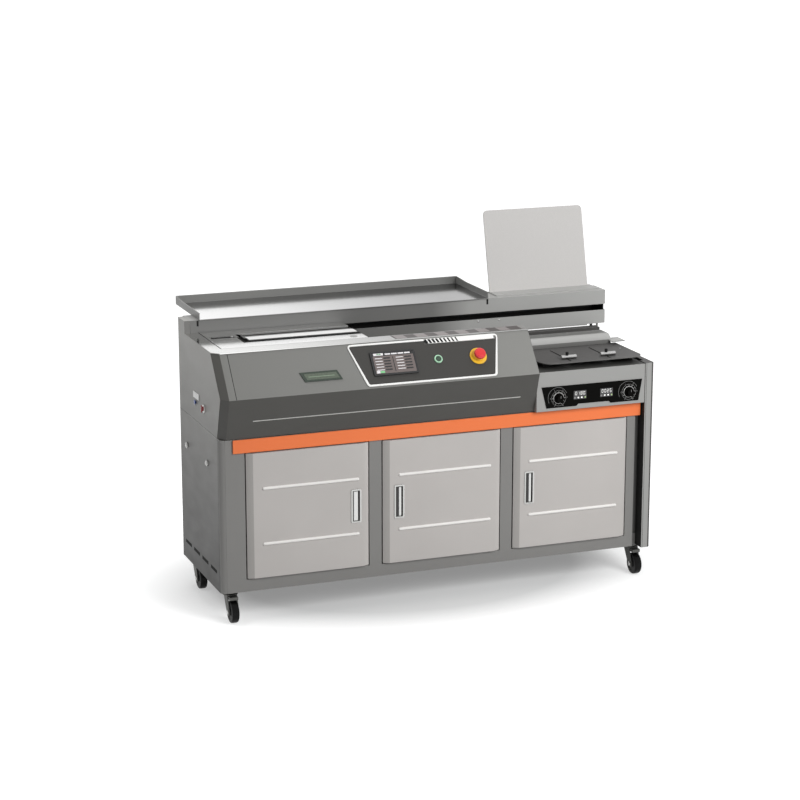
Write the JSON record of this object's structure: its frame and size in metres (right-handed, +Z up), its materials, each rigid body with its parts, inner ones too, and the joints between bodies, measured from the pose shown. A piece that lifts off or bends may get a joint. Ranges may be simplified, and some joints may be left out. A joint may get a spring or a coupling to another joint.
{
  "type": "thermal binding machine",
  "caption": "Floor-standing thermal book binding machine: castor cabinet with hinged doors, sloped console, clamp running along a slotted beam, cover station and frosted rest plate.",
  "frame": {"origin": "on the ground under the middle of the machine's bounding box", "axes": "+X to the operator's right along the clamp's path, +Y to the back, +Z up"},
  "size_m": [1.58, 0.7326, 1.2367],
  "materials": {
    "grey_paint": "satin",
    "light_paint": "satin",
    "orange_paint": "satin",
    "dark_plate": "satin",
    "white_paint": "satin",
    "brushed": "brushed",
    "zinc": "satin",
    "chrome": "polished",
    "aluminium": "satin",
    "rail_steel": "ground",
    "roller_metal": "satin",
    "black_plastic": "matte",
    "screen": "gloss",
    "green_window": "gloss",
    "white_plastic": "matte",
    "green_ring": "gloss",
    "button_dark": "gloss",
    "yellow": "gloss",
    "red": "gloss",
    "blue": "gloss",
    "frosted": "frosted",
    "tyre": "matte"
  },
  "bodies": {
    "cabinet": {"base_pan": "grey_paint", "left_side_panel": "grey_paint", "right_side_panel": "light_paint", "rear_panel": "grey_paint", "front_frame": "grey_paint", "accent_band": "orange_paint", "console_shell": "grey_paint", "control_trim": "white_plastic", "control_panel": "dark_plate", "touch_screen": "screen", "status_window": "green_window", "start_bezel": "green_ring", "estop_collar": "yellow", "top_deck": "white_paint", "work_plate": "grey_paint", "rear_beam": "light_paint", "guide_rail": "rail_steel", "book_tray": "brushed", "tray_bracket": "grey_paint", "rest_plate": "frosted", "glue_tank": "zinc", "milling_motor": "dark_plate", "station_housing": "light_paint", "knob_panel": "dark_plate", "readout_left": "screen", "readout_right": "screen", "cover_table": "grey_paint", "side_plate": "white_plastic"},
    "door_left": {"door_left": "light_paint", "door_pull_left": "zinc"},
    "door_middle": {"door_middle": "light_paint", "door_pull_middle": "zinc"},
    "door_right": {"door_right": "light_paint", "door_pull_right": "zinc"},
    "clamp": {"clamp_carriage": "white_paint"},
    "jaw": {"clamp_jaw": "brushed"},
    "front_nip": {"front_nip_plate": "aluminium"},
    "rear_nip": {"rear_nip_plate": "zinc"},
    "stop_left": {"stop_bar_left": "chrome"},
    "screw_left": {"stop_screw_left": "black_plastic"},
    "stop_right": {"stop_bar_right": "chrome"},
    "screw_right": {"stop_screw_right": "black_plastic"},
    "dial_left": {"dial_left": "black_plastic"},
    "dial_right": {"dial_right": "black_plastic"},
    "start_button": {"start_button": "button_dark"},
    "estop_button": {"estop_button": "red"},
    "side_button": {"side_button": "blue"},
    "main_switch": {"main_switch": "red"},
    "side_lock_front": {"side_lock_front": "chrome"},
    "side_lock_rear": {"side_lock_rear": "chrome"},
    "glue_roller": {"glue_roller": "roller_metal"},
    "milling_disc": {"milling_disc": "brushed"},
    "castor_front_left": {"fork_front_left": "zinc"},
    "wheel_front_left": {"wheel_front_left": "tyre"},
    "castor_front_right": {"fork_front_right": "zinc"},
    "wheel_front_right": {"wheel_front_right": "tyre"},
    "castor_rear_left": {"fork_rear_left": "zinc"},
    "wheel_rear_left": {"wheel_rear_left": "tyre"},
    "castor_rear_right": {"fork_rear_right": "zinc"},
    "wheel_rear_right": {"wheel_rear_right": "tyre"}
  },
  "joints": [
    {"name": "door_left_hinge", "type": "hinge", "parent": "cabinet", "child": "door_left", "pos_m": [-0.681, -0.31275, 0.362], "axis": [0, 0, 1], "range_deg": [-100, 0]},
    {"name": "door_middle_hinge", "type": "hinge", "parent": "cabinet", "child": "door_middle", "pos_m": [0.2057, -0.31275, 0.362], "axis": [0, 0, 1], "range_deg": [0, 100]},
    {"name": "door_right_hinge", "type": "hinge", "parent": "cabinet", "child": "door_right", "pos_m": [0.6824, -0.31275, 0.362], "axis": [0, 0, 1], "range_deg": [0, 100]},
    {"name": "clamp_travel", "type": "slide", "parent": "cabinet", "child": "clamp", "axis": [1, 0, 0], "range_m": [0, 0.98]},
    {"name": "jaw_travel", "type": "slide", "parent": "clamp", "child": "jaw", "axis": [0, 1, 0], "range_m": [-0.05, 0.0055]},
    {"name": "front_nip_travel", "type": "slide", "parent": "cabinet", "child": "front_nip", "axis": [0, 1, 0], "range_m": [-0.012, 0.006]},
    {"name": "rear_nip_travel", "type": "slide", "parent": "cabinet", "child": "rear_nip", "axis": [0, 1, 0], "range_m": [-0.034, 0]},
    {"name": "stop_left_slide", "type": "slide", "parent": "cabinet", "child": "stop_left", "axis": [0, 1, 0], "range_m": [-0.031, 0.13]},
    {"name": "screw_left_turn", "type": "hinge", "parent": "stop_left", "child": "screw_left", "pos_m": [0.488, -0.25575, 0.806], "axis": [0, 0, 1], "continuous": true},
    {"name": "stop_right_slide", "type": "slide", "parent": "cabinet", "child": "stop_right", "axis": [0, 1, 0], "range_m": [-0.031, 0.13]},
    {"name": "screw_right_turn", "type": "hinge", "parent": "stop_right", "child": "screw_right", "pos_m": [0.637, -0.25575, 0.806], "axis": [0, 0, 1], "continuous": true},
    {"name": "dial_left_turn", "type": "hinge", "parent": "cabinet", "child": "dial_left", "pos_m": [0.419, -0.35275, 0.673], "axis": [0, 1, 0], "range_deg": [-150, 150]},
    {"name": "dial_right_turn", "type": "hinge", "parent": "cabinet", "child": "dial_right", "pos_m": [0.685, -0.35275, 0.673], "axis": [0, 1, 0], "range_deg": [-150, 150]},
    {"name": "start_press", "type": "slide", "parent": "cabinet", "child": "start_button", "axis": [0, 0.7826, -0.6225], "range_m": [0, 0.003], "stiffness_N_per_m": 400},
    {"name": "estop_press", "type": "slide", "parent": "cabinet", "child": "estop_button", "axis": [0, 0.7826, -0.6225], "range_m": [0, 0.005]},
    {"name": "side_button_press", "type": "slide", "parent": "cabinet", "child": "side_button", "axis": [1, 0, 0], "range_m": [0, 0.003], "stiffness_N_per_m": 400},
    {"name": "main_switch_turn", "type": "hinge", "parent": "cabinet", "child": "main_switch", "pos_m": [-0.786, -0.14975, 0.697], "axis": [1, 0, 0], "range_deg": [0, 90]},
    {"name": "side_lock_front_turn", "type": "hinge", "parent": "cabinet", "child": "side_lock_front", "pos_m": [-0.783, -0.17975, 0.519], "axis": [1, 0, 0], "range_deg": [0, 90]},
    {"name": "side_lock_rear_turn", "type": "hinge", "parent": "cabinet", "child": "side_lock_rear", "pos_m": [-0.783, 0.06725, 0.519], "axis": [1, 0, 0], "range_deg": [0, 90]},
    {"name": "roller_turn", "type": "hinge", "parent": "cabinet", "child": "glue_roller", "pos_m": [-0.009, 0.00625, 0.795], "axis": [0, 1, 0], "continuous": true},
    {"name": "mill_turn", "type": "hinge", "parent": "cabinet", "child": "milling_disc", "pos_m": [0.221, 0.00625, 0.8], "axis": [0, 0, 1], "continuous": true},
    {"name": "swivel_front_left", "type": "hinge", "parent": "cabinet", "child": "castor_front_left", "pos_m": [-0.739, -0.27775, 0.08], "axis": [0, 0, 1], "continuous": true},
    {"name": "roll_front_left", "type": "hinge", "parent": "castor_front_left", "child": "wheel_front_left", "pos_m": [-0.739, -0.30975, 0.0375], "axis": [1, 0, 0], "continuous": true},
    {"name": "swivel_front_right", "type": "hinge", "parent": "cabinet", "child": "castor_front_right", "pos_m": [0.739, -0.27775, 0.08], "axis": [0, 0, 1], "continuous": true},
    {"name": "roll_front_right", "type": "hinge", "parent": "castor_front_right", "child": "wheel_front_right", "pos_m": [0.739, -0.30975, 0.0375], "axis": [1, 0, 0], "continuous": true},
    {"name": "swivel_rear_left", "type": "hinge", "parent": "cabinet", "child": "castor_rear_left", "pos_m": [-0.739, 0.10525, 0.08], "axis": [0, 0, 1], "continuous": true},
    {"name": "roll_rear_left", "type": "hinge", "parent": "castor_rear_left", "child": "wheel_rear_left", "pos_m": [-0.739, 0.07325, 0.0375], "axis": [1, 0, 0], "continuous": true},
    {"name": "swivel_rear_right", "type": "hinge", "parent": "cabinet", "child": "castor_rear_right", "pos_m": [0.739, 0.10525, 0.08], "axis": [0, 0, 1], "continuous": true},
    {"name": "roll_rear_right", "type": "hinge", "parent": "castor_rear_right", "child": "wheel_rear_right", "pos_m": [0.739, 0.07325, 0.0375], "axis": [1, 0, 0], "continuous": true}
  ]
}
